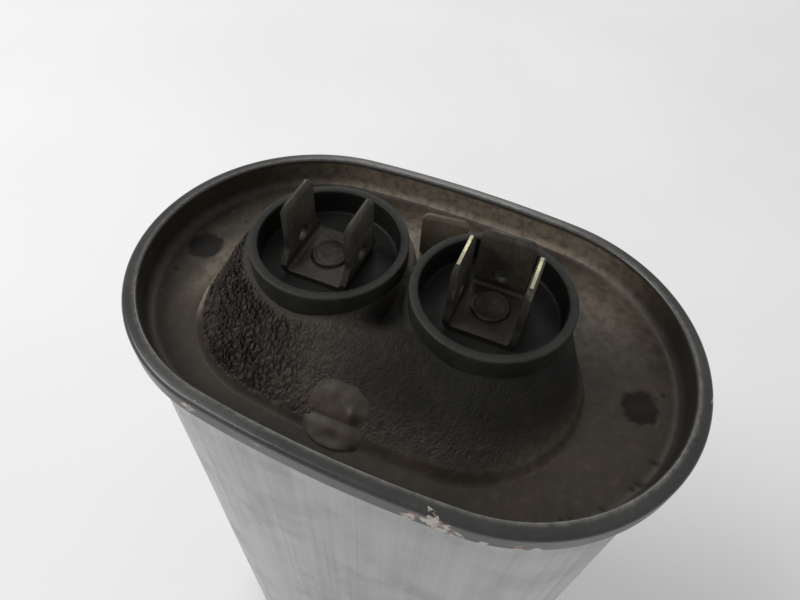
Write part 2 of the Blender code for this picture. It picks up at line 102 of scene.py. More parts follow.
def noise2(x, y, seed=0):
    """Gradient noise, about -0.7 to 0.7, one unit between lattice points."""
    x = np.asarray(x, float)
    y = np.asarray(y, float)
    ix = np.floor(x).astype(np.int64)
    iy = np.floor(y).astype(np.int64)
    fx, fy = x - ix, y - iy
    u = fx * fx * fx * (fx * (fx * 6 - 15) + 10)
    v = fy * fy * fy * (fy * (fy * 6 - 15) + 10)
    total = 0.0
    for dx in (0, 1):
        for dy in (0, 1):
            a = 2 * math.pi * lattice(ix + dx, iy + dy, seed)
            dot = np.cos(a) * (fx - dx) + np.sin(a) * (fy - dy)
            total = total + dot * (u if dx else 1 - u) * (v if dy else 1 - v)
    return total


def fbm(x, y, seed=0, octaves=4, gain=0.5):
    """Sum of finer and fainter layers of noise2."""
    total, amp, scale = 0.0, 1.0, 1.0
    for k in range(octaves):
        total = total + amp * noise2(x * scale, y * scale, seed + 17 * k)
        amp *= gain
        scale *= 2.03
    return total


def smooth(a, b, x):
    """0 at a, 1 at b, with an easy start and end; b may be below a."""
    t = np.clip((x - a) / (b - a), 0.0, 1.0)
    return t * t * (3 - 2 * t)


def patch(x, y, centre_x, centre_y, reach_x, reach_y):
    """1 at the centre, fading to nothing by about two reaches from it."""
    return np.exp(-(((x - centre_x) / reach_x) ** 2 + ((y - centre_y) / reach_y) ** 2))


# ------------------------------------------------------------------ mesh helpers
def new_object(name, verts, faces, mats, face_mats=None, smooth_deg=40.0, attributes=None):
    """Mesh object from vertices in mm; edges sharper than smooth_deg stay sharp."""
    mesh = bpy.data.meshes.new(name)
    mesh.from_pydata([tuple(v) for v in np.asarray(verts, float) * MM], [], [tuple(f) for f in faces])
    for m in mats:
        mesh.materials.append(m)
    if face_mats is not None:
        mesh.polygons.foreach_set("material_index", np.asarray(face_mats, np.int32))
    if attributes:
        for key, values in attributes.items():
            layer = mesh.color_attributes.new(key, "FLOAT_COLOR", "POINT")
            layer.data.foreach_set("color", np.asarray(values, np.float32).reshape(-1))
    bm = bmesh.new()
    bm.from_mesh(mesh)
    bmesh.ops.recalc_face_normals(bm, faces=bm.faces)
    limit = math.radians(smooth_deg)
    for f in bm.faces:
        f.smooth = True
    for e in bm.edges:
        if len(e.link_faces) == 2:
            e.smooth = e.calc_face_angle(0.0) < limit
    bm.to_mesh(mesh)
    bm.free()
    mesh.update()
    obj = bpy.data.objects.new(name, mesh)
    bpy.context.scene.collection.objects.link(obj)
    return obj


def oval(a, w, radius, seg_end, seg_side):
    """Centres, radii and angles of a four-arc oval of half-length a and half-width w."""
    run = a - radius
    rise = w - radius
    drop = (run * run - rise * rise) / (2 * rise)
    side = w + drop
    phi = math.atan2(drop, run)
    out = []
    for k in range(seg_end):
        out.append((run, 0.0, radius, -phi + 2 * phi * k / seg_end))
    for k in range(seg_side):
        out.append((0.0, -drop, side, phi + (math.pi - 2 * phi) * k / seg_side))
    for k in range(seg_end):
        out.append((-run, 0.0, radius, math.pi - phi + 2 * phi * k / seg_end))
    for k in range(seg_side):
        out.append((0.0, drop, side, math.pi + phi + (math.pi - 2 * phi) * k / seg_side))
    return np.array(out)


def ring(stations, offset):
    """Points of an oval grown by an offset."""
    reach = stations[:, 2] + offset
    x = stations[:, 0] + reach * np.cos(stations[:, 3])
    y = stations[:, 1] + reach * np.sin(stations[:, 3])
    return np.stack([x, y], 1)


def ring_faces(rows, count, closed):
    faces = []
    pairs = rows if closed else rows - 1
    for i in range(pairs):
        j = (i + 1) % rows
        base_i, base_j = i * count, j * count
        for k in range(count):
            n = (k + 1) % count
            faces.append((base_i + k, base_i + n, base_j + n, base_j + k))
    return faces


def capped_faces(rows, count):
    """Faces of rings joined in order, with a lid over the first and the last."""
    faces = ring_faces(rows, count, False)
    faces.append(tuple(reversed(range(count))))
    faces.append(tuple(range((rows - 1) * count, rows * count)))
    return faces


def unworn(count):
    """Empty attribute: bare metal, paler paint with painted light, painted shade, and a full fourth channel."""
    wear_and_painted_light = np.zeros((count, 4))
    wear_and_painted_light[:, 3] = 1.0
    return wear_and_painted_light


def arc(centre, radius, start, stop, steps):
    a = np.radians(np.linspace(start, stop, steps))
    return [(centre[0] + radius * math.cos(t), centre[1] + radius * math.sin(t)) for t in a]


def revolve(profile, x, y, count, wobble):
    """Closed loop of (r, z) about a vertical axis; the loop starts and ends off the axis."""
    a = 2 * np.pi * (np.arange(count) + 0.5) / count
    verts = []
    for r, z in profile:
        verts.append(np.stack([x + r * np.cos(a), y + r * np.sin(a), np.full(count, z)], 1))
    return wobble(np.concatenate(verts)), ring_faces(len(profile), count, True)


def dome(profile, count, shape):
    """Open run of (r, z) from the axis out and back to the axis, with two poles."""
    a = 2 * np.pi * np.arange(count) / count
    inner = [p for p in profile if p[0] > 1e-6]
    rows = [np.stack([r * np.cos(a), r * np.sin(a), np.full(count, z)], 1) for r, z in inner]
    verts = np.concatenate(rows + [np.array([[0, 0, profile[0][1]], [0, 0, profile[-1][1]]])])
    faces = ring_faces(len(inner), count, False)
    low, high = len(verts) - 2, len(verts) - 1
    last = (len(inner) - 1) * count
    for k in range(count):
        n = (k + 1) % count
        faces.append((low, n, k))
        faces.append((high, last + k, last + n))
    return shape(verts), faces


def ribbon(path, place, thickness, bevel=0.22, bevel_run=0.7):
    """Sheet strip through (along, height, low side, high side) stations, bevelled at its ends.

    The narrow faces get slot 1 and the two end faces slot 2.
    """
    verts, faces, mats = [], [], []
    count = len(path)
    for i, (along, height, side_a, side_b) in enumerate(path):
        here = Vector((along, height))
        before = Vector(path[max(i - 1, 0)][:2])
        after = Vector(path[min(i + 1, count - 1)][:2])
        into, out = here - before, after - here
        stretch = 1.0
        if into.length > 1e-6 and out.length > 1e-6:
            stretch = 1.0 / math.cos(into.angle(out) / 2)
            tangent = (into.normalized() + out.normalized()).normalized()
        else:
            tangent = (after - before).normalized()
        from_end = min((here - Vector(path[0][:2])).length, (here - Vector(path[-1][:2])).length)
        thin = bevel * max(0.0, 1.0 - from_end / bevel_run)
        normal = Vector((-tangent.y, tangent.x)) * (thickness / 2 - thin) * stretch
        for side, sign in ((side_a, -1), (side_b, -1), (side_b, 1), (side_a, 1)):
            verts.append(place(along + sign * normal.x, side, height + sign * normal.y))
    for i in range(count - 1):
        for k in range(4):
            n = (k + 1) % 4
            faces.append((i * 4 + k, i * 4 + n, i * 4 + 4 + n, i * 4 + 4 + k))
            mats.append(1 if k in (1, 3) else 0)
    faces.append((3, 2, 1, 0))
    mats.append(2)
    e = (count - 1) * 4
    faces.append((e, e + 1, e + 2, e + 3))
    mats.append(2)
    return verts, faces, mats


def combine(obj, tool, operation):
    """Boolean of an object with a tool object, which is used up."""
    step = obj.modifiers.new("combine", "BOOLEAN")
    step.operation = operation
    step.solver = "EXACT"
    step.material_mode = "TRANSFER"
    step.object = tool
    apply_all(obj)
    mesh = tool.data
    bpy.data.objects.remove(tool, do_unlink=True)
    bpy.data.meshes.remove(mesh)


def cut(obj, verts, faces, mat):
    combine(obj, new_object("cutter", verts, faces, [mat]), "DIFFERENCE")


def apply_all(obj):
    """Turn an object's modifiers into plain mesh."""
    dg = bpy.context.evaluated_depsgraph_get()
    mesh = bpy.data.meshes.new_from_object(obj.evaluated_get(dg))
    obj.modifiers.clear()
    old = obj.data
    obj.data = mesh
    bpy.data.meshes.remove(old)


def rod(centre, axis, radius, length, count):
    """Closed cylinder centred on a point."""
    a = 2 * np.pi * np.arange(count) / count
    z = Vector(axis).normalized()
    x = z.orthogonal().normalized()
    y = z.cross(x)
    verts = []
    for end in (-0.5, 0.5):
        for t in a:
            verts.append(Vector(centre) + z * end * length + radius * (math.cos(t) * x + math.sin(t) * y))
    return [tuple(v) for v in verts], capped_faces(2, count)


def soften(obj, width):
    """Small rounded bevel along every sharp edge."""
    step = obj.modifiers.new("edge", "BEVEL")
    step.width = width * MM
    step.segments = 2
    step.limit_method = "ANGLE"
    step.angle_limit = math.radians(35.0)
    apply_all(obj)


def settle(obj, node):
    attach(obj, "root")
    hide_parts(node)


# ------------------------------------------------------------------ node helpers
class Shade:
    """Small wrapper that adds nodes to one material."""

    def __init__(self, name):
        self.mat = bpy.data.materials.new(name)
        self.mat.use_nodes = True
        self.tree = self.mat.node_tree
        self.bsdf = self.tree.nodes["Principled BSDF"]
        self.where = self.add("ShaderNodeTexCoord").outputs["Object"]

    def add(self, kind, **props):
        node = self.tree.nodes.new(kind)
        for key, value in props.items():
            setattr(node, key, value)
        return node

    def link(self, a, b):
        self.tree.links.new(a, b)

    def feed(self, socket, value):
        """Link a socket, or set a plain value or colour on the input itself."""
        if isinstance(value, bpy.types.NodeSocket):
            self.link(value, socket)
        elif isinstance(value, (tuple, list)) and len(value) == 3 and socket.type == "RGBA":
            socket.default_value = (value[0], value[1], value[2], 1.0)
        else:
            socket.default_value = value

    def stretch(self, scale):
        """Object position with its own scale along each axis."""
        node = self.add("ShaderNodeMapping")
        node.inputs["Scale"].default_value = scale
        self.link(self.where, node.inputs["Vector"])
        return node.outputs["Vector"]

    def noise(self, scale, detail=4.0, rough=0.55, distort=0.0, vector=None):
        node = self.add("ShaderNodeTexNoise")
        self.link(vector if vector is not None else self.where, node.inputs["Vector"])
        node.inputs["Scale"].default_value = scale
        node.inputs["Detail"].default_value = detail
        node.inputs["Roughness"].default_value = rough
        node.inputs["Distortion"].default_value = distort
        return node.outputs["Fac"]

    def span(self, value, low, high, out_low=0.0, out_high=1.0):
        node = self.add("ShaderNodeMapRange")
        node.interpolation_type = "SMOOTHSTEP"
        self.feed(node.inputs["Value"], value)
        for key, number in (("From Min", low), ("From Max", high), ("To Min", out_low), ("To Max", out_high)):
            node.inputs[key].default_value = number
        return node.outputs["Result"]

    def math(self, op, a, b):
        node = self.add("ShaderNodeMath", operation=op)
        self.feed(node.inputs[0], a)
        self.feed(node.inputs[1], b)
        return node.outputs[0]

    def mix(self, fac, a, b):
        node = self.add("ShaderNodeMix", data_type="RGBA")
        self.feed(node.inputs["Factor"], fac)
        self.feed(node.inputs[6], a)
        self.feed(node.inputs[7], b)
        return node.outputs[2]

    def blend(self, fac, a, b):
        node = self.add("ShaderNodeMix", data_type="FLOAT")
        self.feed(node.inputs["Factor"], fac)
        self.feed(node.inputs[2], a)
        self.feed(node.inputs[3], b)
        return node.outputs[0]

    def axes(self):
        node = self.add("ShaderNodeSeparateXYZ")
        self.link(self.where, node.inputs[0])
        return node.outputs

    def attribute(self, name):
        node = self.add("ShaderNodeAttribute", attribute_name=name)
        split = self.add("ShaderNodeSeparateColor")
        self.link(node.outputs["Color"], split.inputs[0])
        return split.outputs

    def bump(self, height, strength, distance_mm):
        node = self.add("ShaderNodeBump")
        node.inputs["Strength"].default_value = strength
        node.inputs["Distance"].default_value = distance_mm * MM
        self.link(height, node.inputs["Height"])
        return node.outputs["Normal"]

    def finish(self, colour, rough, metal=0.0, normal=None, **extra):
        """Set the shader's inputs; extra ones are named with underscores for spaces."""
        self.feed(self.bsdf.inputs["Base Color"], colour)
        self.feed(self.bsdf.inputs["Roughness"], rough)
        self.feed(self.bsdf.inputs["Metallic"], metal)
        if normal is not None:
            self.link(normal, self.bsdf.inputs["Normal"])
        for key, value in extra.items():
            self.feed(self.bsdf.inputs[key.replace("_", " ")], value)
        return self.mat


# ------------------------------------------------------------------ materials
def lid_paint(name, dark, light, shade_tone, rough_low, rough_high, gloss):
    """Old satin paint. Attribute wear_and_painted_light: red bare metal, green paler paint and painted light, blue
    painted shade.
    """
    s = Shade(name)
    wear_and_painted_light = s.attribute("wear_and_painted_light")
    broad = s.noise(110, 5, 0.65)
    fine = s.noise(900, 5, 0.6)
    speck = s.noise(2600, 2, 0.5)
    colour = s.mix(s.span(broad, 0.35, 0.65), dark, light)
    colour = s.mix(s.span(fine, 0.52, 0.72, 0.0, 0.45), colour, tuple(1.7 * c for c in light))
    colour = s.mix(s.span(speck, 0.66, 0.74, 0.0, 0.6), colour, tuple(0.3 * c for c in dark))
    paler_and_painted_light = s.math("MULTIPLY", wear_and_painted_light[1], s.span(fine, 0.30, 0.62, 0.45, 1.0))
    # paler paint and painted light, mixed in towards this tan
    colour = s.mix(paler_and_painted_light, colour, (0.205, 0.172, 0.130))
    # painted shade: darker in dents, pits, wrinkle cracks and on shaded slopes
    painted_shade = s.math("MULTIPLY", wear_and_painted_light[2], s.span(s.noise(420, 4, 0.6), 0.25, 0.6, 0.75, 1.0))
    colour = s.mix(painted_shade, colour, shade_tone)
    bare = s.math("MULTIPLY", wear_and_painted_light[0], s.span(s.noise(1500, 4, 0.7), 0.30, 0.46))
    metal_tone = s.mix(s.span(fine, 0.4, 0.6), (0.38, 0.35, 0.32), (0.20, 0.15, 0.12))
    colour = s.mix(bare, colour, metal_tone)
    rough = s.blend(s.span(broad, 0.3, 0.7), rough_low, rough_high)
    rough = s.blend(painted_shade, rough, 0.85)
    rough = s.blend(paler_and_painted_light, rough, 0.60)
    height = s.math("ADD", s.math("MULTIPLY", fine, 0.7), s.math("MULTIPLY", speck, 0.3))
    normal = s.bump(height, 0.30, 0.06)
    return s.finish(colour, rough, s.math("MULTIPLY", bare, 0.85), normal, Specular_IOR_Level=gloss)


def seam_paint(name):
    """Dark grey coating over the rolled seam. Attribute wear_and_painted_light: red chips, green painted highlight
    along the ridge, blue grime.
    """
    s = Shade(name)
    wear_and_painted_light = s.attribute("wear_and_painted_light")
    broad = s.noise(90, 4, 0.6)
    fine = s.noise(1300, 5, 0.65)
    colour = s.mix(s.span(broad, 0.35, 0.65), (0.019, 0.0205, 0.0195), (0.029, 0.0295, 0.027))
    colour = s.mix(s.span(fine, 0.55, 0.75, 0.0, 0.35), colour, (0.060, 0.058, 0.052))
    # painted highlight along the seam's ridge, mixed in as a paler grey
    paler_and_painted_light = s.math("MULTIPLY", wear_and_painted_light[1], s.span(fine, 0.35, 0.6, 0.4, 1.0))
    colour = s.mix(paler_and_painted_light, colour, (0.115, 0.108, 0.093))
    colour = s.mix(wear_and_painted_light[2], colour, (0.008, 0.008, 0.007))
    ragged = s.span(s.noise(1100, 5, 0.75), 0.25, 0.75, -0.45, 0.45)
    bare = s.span(s.math("ADD", wear_and_painted_light[0], ragged), 0.45, 0.53)
    rim = s.span(s.math("ADD", wear_and_painted_light[0], ragged), 0.30, 0.42)
    colour = s.mix(rim, colour, (0.012, 0.010, 0.009))
    tone = s.mix(s.span(s.noise(900, 3, 0.6), 0.42, 0.58), (0.46, 0.42, 0.37), (0.17, 0.115, 0.095))
    colour = s.mix(bare, colour, tone)
    rough = s.blend(s.span(broad, 0.3, 0.7), 0.27, 0.40)
    rough = s.blend(bare, rough, 0.40)
    normal = s.bump(s.math("SUBTRACT", fine, s.math("MULTIPLY", bare, 1.5)), 0.35, 0.05)
    return s.finish(colour, rough, s.math("MULTIPLY", bare, 0.8), normal)


def bare_aluminium(name):
    """Drawn aluminium: faint draw lines along Z, handling marks and a few scratches."""
    s = Shade(name)
    lines = s.noise(1.0, 3, 0.6, vector=s.stretch((900, 900, 9)))
    marks = s.noise(60, 5, 0.65, 0.4)
    hair = s.noise(1.0, 2, 0.5, vector=s.stretch((260, 260, 2600)))
    colour = s.mix(s.span(marks, 0.35, 0.7), (0.40, 0.40, 0.41), (0.32, 0.32, 0.315))
    colour = s.mix(s.span(lines, 0.60, 0.75, 0.0, 0.35), colour, (0.25, 0.25, 0.25))
    rough = s.span(lines, 0.3, 0.7, 0.30, 0.42)
    rough = s.math("ADD", rough, s.span(marks, 0.45, 0.7, 0.0, 0.10))
    height = s.math("ADD", lines, s.math("MULTIPLY", s.span(hair, 0.66, 0.72), 0.6))
    normal = s.bump(height, 0.18, 0.03)
    return s.finish(colour, rough, 1.0, normal)


def moulded_cup(name):
    """Dull dark moulding. Attribute wear_and_painted_light: green painted highlight on the rim top, blue painted
    shade inside the cup.
    """
    s = Shade(name)
    broad = s.noise(160, 4, 0.6)
    fine = s.noise(1800, 4, 0.6)
    grain = s.noise(5200, 2, 0.5)
    wear_and_painted_light = s.attribute("wear_and_painted_light")
    colour = s.mix(s.span(broad, 0.35, 0.65), (0.0085, 0.0095, 0.0075), (0.0150, 0.0155, 0.0125))
    colour = s.mix(s.span(fine, 0.56, 0.72, 0.0, 0.6), colour, (0.026, 0.026, 0.021))
    # painted highlight on the top of the rim
    paler_and_painted_light = s.math("MULTIPLY", wear_and_painted_light[1], s.span(fine, 0.25, 0.6, 0.45, 1.0))
    colour = s.mix(paler_and_painted_light, colour, (0.036, 0.036, 0.030))
    # painted shade inside the cup
    colour = s.mix(s.math("MULTIPLY", wear_and_painted_light[2], 0.65), colour, (0.0035, 0.0038, 0.0032))
    rough = s.span(broad, 0.3, 0.7, 0.52, 0.68)
    normal = s.bump(s.math("ADD", fine, s.math("MULTIPLY", grain, 0.5)), 0.30, 0.05)
    return s.finish(colour, rough, 0.0, normal, Specular_IOR_Level=0.22)


def rubbed_edge(name, dull, bright, from_height, amount):
    """Sheared edge: dull, rubbed bright in patches above one height (mm)."""
    s = Shade(name)
    patches = s.noise(420, 4, 0.6)
    fine = s.noise(2600, 3, 0.6)
    high = s.span(s.axes()[2], (from_height - 0.5) * MM, (from_height + 0.5) * MM)
    bare = s.math("MULTIPLY", s.span(patches, 0.62 - amount, 0.72 - amount), high)
    bare = s.math("MULTIPLY", bare, s.span(fine, 0.3, 0.5, 0.55, 1.0))
    colour = s.mix(bare, s.mix(fine, tuple(0.6 * c for c in dull), dull), bright)
    normal = s.bump(fine, 0.3, 0.03)
    return s.finish(colour, s.blend(bare, 0.6, 0.42), s.blend(bare, 0.4, 0.85), normal)


def tarnished(name, dark, light, metal, rough_low, rough_high, darker_below=None):
    """Stained sheet metal with fine spots; it may be darker below one height (mm)."""
    s = Shade(name)
    broad = s.noise(330, 5, 0.65, 0.3)
    fine = s.noise(2600, 4, 0.6)
    streak = s.noise(1.0, 3, 0.6, vector=s.stretch((2600, 2600, 320)))
    colour = s.mix(s.span(broad, 0.36, 0.66), dark, light)
    colour = s.mix(s.span(streak, 0.55, 0.75, 0.0, 0.35), colour, tuple(1.5 * c for c in light))
    colour = s.mix(s.span(fine, 0.60, 0.70, 0.0, 0.7), colour, tuple(0.35 * c for c in dark))
    if darker_below is not None:
        low_down = s.span(s.axes()[2], (darker_below - 1.0) * MM, darker_below * MM, 0.72, 0.0)
        colour = s.mix(low_down, colour, tuple(0.2 * c for c in dark))
    rough = s.span(fine, 0.3, 0.7, rough_low, rough_high)
    normal = s.bump(s.math("ADD", fine, s.math("MULTIPLY", streak, 0.5)), 0.25, 0.03)
    return s.finish(colour, rough, metal, normal)


def plain(name, dark, light, rough, metal):
    """Two tones in soft patches, for the pieces inside the can."""
    s = Shade(name)
    broad = s.noise(240.0, 4, 0.6)
    fine = s.noise(2160.0, 3, 0.6)
    colour = s.mix(s.span(broad, 0.35, 0.65), dark, light)
    normal = s.bump(fine, 0.25, 0.05)
    return s.finish(colour, s.span(fine, 0.3, 0.7, rough - 0.06, rough + 0.06), metal, normal)


brown_dark, brown_light = (0.0170, 0.0120, 0.0078), (0.0255, 0.0182, 0.0118)
# the third tone of each is the colour of the painted shade
paint = lid_paint("lid_brown_paint", brown_dark, brown_light, (0.0045, 0.0038, 0.0030), 0.50, 0.60, 0.30)
ground_paint = lid_paint("ground_paint", brown_dark, brown_light, (0.0046, 0.0043, 0.0034), 0.52, 0.62, 0.30)
seam = seam_paint("seam_grey_coat")
can_metal = bare_aluminium("can_aluminium")
cup_stuff = moulded_cup("cup_moulding")
blade_face = tarnished("blade_tarnish", (0.046, 0.039, 0.029), (0.088, 0.076, 0.056), 0.4, 0.45, 0.65,
                       darker_below=cup_floor + 2.0)
dark_edge = rubbed_edge("blade_edge_dark", (0.026, 0.021, 0.015), (0.11, 0.10, 0.07), panel, 0.02)
dull_edge = rubbed_edge("blade_edge_dull", (0.060, 0.054, 0.040), (0.24, 0.225, 0.155), panel, 0.06)
bright_edge = rubbed_edge("blade_edge_bright", (0.070, 0.064, 0.046), (0.46, 0.44, 0.30), panel, 0.32)
tab_face = tarnished("tab_tarnish", (0.135, 0.112, 0.080), (0.190, 0.160, 0.118), 0.2, 0.55, 0.7)
tab_edge = rubbed_edge("tab_edge", (0.110, 0.098, 0.076), (0.20, 0.18, 0.14), panel + 2.0, 0.1)
rivet_metal = tarnished("rivet_tarnish", (0.022, 0.019, 0.014), (0.045, 0.039, 0.028), 0.45, 0.5, 0.68)

# finishes of the pieces inside the can: dark tone, light tone, roughness, metallic
rubber = ((0.010, 0.010, 0.010), (0.022, 0.022, 0.020), 0.8, 0.0)
phenolic = ((0.10, 0.045, 0.02), (0.17, 0.08, 0.04), 0.5, 0.0)
tinned = ((0.42, 0.41, 0.38), (0.60, 0.58, 0.54), 0.35, 1.0)
sprayed = ((0.20, 0.20, 0.21), (0.36, 0.36, 0.38), 0.7, 0.8)
board = ((0.26, 0.18, 0.10), (0.38, 0.28, 0.17), 0.8, 0.0)
soldered = ((0.38, 0.38, 0.38), (0.60, 0.60, 0.60), 0.3, 1.0)
hidden = {
    "seam_compound": ((0.02, 0.02, 0.02), (0.05, 0.05, 0.045), 0.7, 0.0),
    "cup_gasket_left": rubber,
    "cup_gasket_right": rubber,
    "inner_insulator_left": phenolic,
    "inner_insulator_right": phenolic,
    "solder_lug_left": tinned,
    "solder_lug_right": tinned,
    "winding": ((0.52, 0.52, 0.52), (0.68, 0.68, 0.67), 0.3, 0.3),
    "winding_core": ((0.58, 0.56, 0.48), (0.72, 0.70, 0.62), 0.45, 0.0),
    "end_spray_bottom": sprayed,
    "end_spray_top": sprayed,
    "element_wrap": ((0.42, 0.33, 0.18), (0.56, 0.46, 0.28), 0.4, 0.0),
    "bottom_insulator": board,
    "top_insulator": board,
    "lead_wire_left": ((0.26, 0.025, 0.02), (0.36, 0.05, 0.03), 0.45, 0.0),
    "lead_wire_right": ((0.012, 0.012, 0.013), (0.03, 0.03, 0.03), 0.45, 0.0),
    "solder_joint_top": soldered,
    "solder_joint_bottom": soldered,
}
for name, (dark, light, rough, metal) in hidden.items():
    mat = plain(name + "_finish", dark, light, rough, metal)
    nodes[name].data.materials.clear()
    nodes[name].data.materials.append(mat)


# ------------------------------------------------------------------ lid: one sheet rolled over the can
fine_oval = oval(half_length, half_width, end_radius, 260, 70)
count = len(fine_oval)


def lid_section():
    """Section as (offset, height above seam top, zone): 0 lid paint, 1 seam coat, 2 inside."""
    inner_wall = chuck + sheet
    hook_in, hook_out = lid_hook
    out = [(d, z, 0) for d, z in arc((chuck - 1.3, -3.10), 1.3, 270, 360, 10)]
    out += [(chuck, z, 0) for z in (-2.6, -2.0, -1.4, -0.8)]
    out += [(d, z, 1) for d, z in arc((chuck + 0.38, -0.38), 0.38, 175, 88, 8)]
    out += [(-1.2, -0.02, 1), (-0.9, -0.05, 1)]
    out += [(d, z, 1) for d, z in arc((-0.6, -0.68), 0.60, 80, 0, 10)]
    out += [(0.0, z, 1) for z in (-1.1, -1.6, -2.1, -2.5)]
    out += [(d, z, 1) for d, z in arc((-0.25, 0.25 - seam_height), 0.25, 0, -90, 6)]
    out += [(-0.6, -seam_height, 1), (-0.9, -seam_height, 1), (hook_in, -2.9, 1)]
    out += [(hook_in, -1.8, 2), (hook_out, -1.8, 2)]
    out += [(hook_out, sheet - seam_height, 2), (-sheet, sheet - seam_height, 2)]
    out += [(d, z, 2) for d, z in arc((-0.6, -0.68), 0.36, 0, 90, 5)]
    out += [(d, z, 2) for d, z in arc((inner_wall + 0.36, -0.62), 0.36, 90, 180, 5)]
    out += [(d, z, 2) for d, z in arc((chuck - 1.3, -3.10), 1.54, 360, 270, 8)]
    return out


def spot(x, y, z, at, radius):
    """1 at a place, fading to 0 by about two radii from it."""
    d2 = (x - at[0]) ** 2 + (y - at[1]) ** 2 + (z - at[2]) ** 2
    return np.exp(-d2 / (radius * radius))


section = lid_section()
panel_offsets = [-3.4 - 0.2 * k for k in range(30)] + [-9.4 - 0.9 * k for k in range(1, 15)]
levels = [(d, -panel_drop, 0) for d in reversed(panel_offsets)] + section + [(-4.2, -panel_drop - sheet, 2)]
lid_rows = [np.column_stack([ring(fine_oval, d), np.full(count, top + z)]) for d, z, _ in levels]
lid_verts = np.concatenate(lid_rows)
lid_faces = capped_faces(len(levels), count)
zone = np.repeat([v for _, _, v in levels], count)
offset = np.repeat([d for d, _, _ in levels], count)
x, y, z = lid_verts.T
rel = z - top
along = np.tile(np.arange(count), len(levels)) / count * 190.0      # mm round the rim

# slight waves in the pressed panel, then the two round dents and some small pits as (x, y, radius)
dimples = ((-31.0, -0.1, 2.5), (30.36, 0.43, 2.3))
pits = ((32.97, -5.94, 0.45), (31.87, -9.26, 0.50), (31.2, -10.1, 0.35), (28.77, -13.73, 0.40),
        (26.04, -16.18, 0.40), (25.0, -16.7, 0.3), (32.6, 3.4, 0.35), (-31.8, -5.6, 0.35), (-28.6, 6.6, 0.3))
on_top = (zone == 0) & (rel < -4.25)
drop = 0.05 * np.abs(fbm(x / 9.0, y / 9.0, 3, 3))
# dark: painted shade in the dents and pits, and on the wall at the right end
dark = np.zeros(len(x))
for px, py, size in dimples:
    away = np.hypot(x - px, y - py) + 0.55 * fbm(x / 1.1, y / 1.1, 12, 3)
    inside = smooth(size + 0.35, size - 0.45, away)
    drop = drop + inside * (0.13 + 0.10 * np.abs(noise2(x / 0.9, y / 0.45, 19)))
    dark = np.maximum(dark, inside)
for px, py, size in pits:
    hit = patch(x, y, px, py, size, 0.7 * size)
    drop = drop + 0.09 * hit
    dark = np.maximum(dark, 0.95 * hit)
deepest = 0.22
lid_verts[:, 2] = np.where(on_top, z - np.minimum(drop, deepest), z)

# chips in the seam coat as (x, y, height above seam top, radius)
chips = ((-15.6, -23.0, -1.3, 0.95), (-16.9, -22.6, -1.9, 0.6), (-20.9, -21.3, -1.2, 0.38),
         (-22.0, -20.9, -2.0, 0.35), (-26.2, -19.5, -1.1, 0.42), (-27.1, -19.0, -1.5, 0.35),
         (-18.6, -22.1, -2.4, 0.5), (12.9, -23.7, -1.3, 1.0), (14.4, -23.7, -1.9, 1.15),
         (11.2, -23.8, -1.0, 0.6), (10.6, -23.9, -2.2, 0.7), (15.6, -23.4, -2.6, 0.8),
         (18.3, -22.9, -2.5, 0.5), (21.6, -22.0, -2.55, 0.6), (23.2, -21.6, -2.6, 0.5),
         (36.8, 1.9, -0.7, 0.6), (-35.2, 8.0, -0.9, 0.3), (-6.5, -24.1, -1.2, 0.25))
wear_and_painted_light = unworn(len(lid_verts))
coat = zone == 1
streaky = fbm(along / 6.0, rel * 0.4, 5, 4)
rub = smooth(-2.68, -2.98, rel) * (offset > -0.9)
chipped = sum(1.15 * spot(x, y, rel, c[:3], c[3]) for c in chips)
wear_and_painted_light[:, 0] = np.where(coat, np.clip(rub * (0.72 + 0.5 * streaky) + chipped, 0.0, 1.0), 0.0)
# painted highlight: a paler line along the inner ridge of the seam top
ridge_highlight = np.exp(-((offset + 1.52) / 0.22) ** 2) * (rel > -0.3)
wear_and_painted_light[:, 1] = np.where(coat, ridge_highlight * (0.85 + 0.5 * fbm(along / 3.0, rel, 8, 3)), 0.0)
# paler paint on the wall at the back, and painted light in patches on the panel: between and behind the cups, right
# of the right cup and at the left
facing = np.degrees(np.arctan2(y, x * 0.62)) % 360.0
on_wall = rel > -4.2
back_wall = smooth(150, 100, facing) * smooth(38, 70, facing)
paler_wall = on_wall * (0.05 + 0.95 * back_wall)
# painted shade on the wall at the right end
dark = np.maximum(dark, 0.6 * on_wall * smooth(50, 25, np.minimum(facing, 360.0 - facing)))
painted_light_patches = ~on_wall * (1.25 * patch(x, y, -0.5, 13.0, 9.0, 5.5) + 0.50 * patch(x, y, 21.5, 12.0, 6.5, 7.5)
                          + 0.55 * patch(x, y, -27.2, -2.5, 1.7, 5.5) + 0.22 * patch(x, y, -22.0, 8.5, 5.5, 5.0)
                          + 0.05)
# the painted shade goes into the third channel
wear_and_painted_light[:, 2] = np.where(zone == 0, dark, 0.0)
wear_and_painted_light[:, 1] = np.where(zone == 0, np.clip((paler_wall + painted_light_patches) * (1 - dark), 0, 1), wear_and_painted_light[:, 1])
lid_mats = []
for upper, lower in zip(levels, levels[1:]):
    lid_mats += [1 if upper[2] == 1 and lower[2] == 1 else 0] * count
lid_mats += [0, 0]                          # the two end faces
lid = new_object("lid_formed", lid_verts, lid_faces, [paint, seam], lid_mats, 60.0, {"wear_and_painted_light": wear_and_painted_light})
settle(lid, "lid")


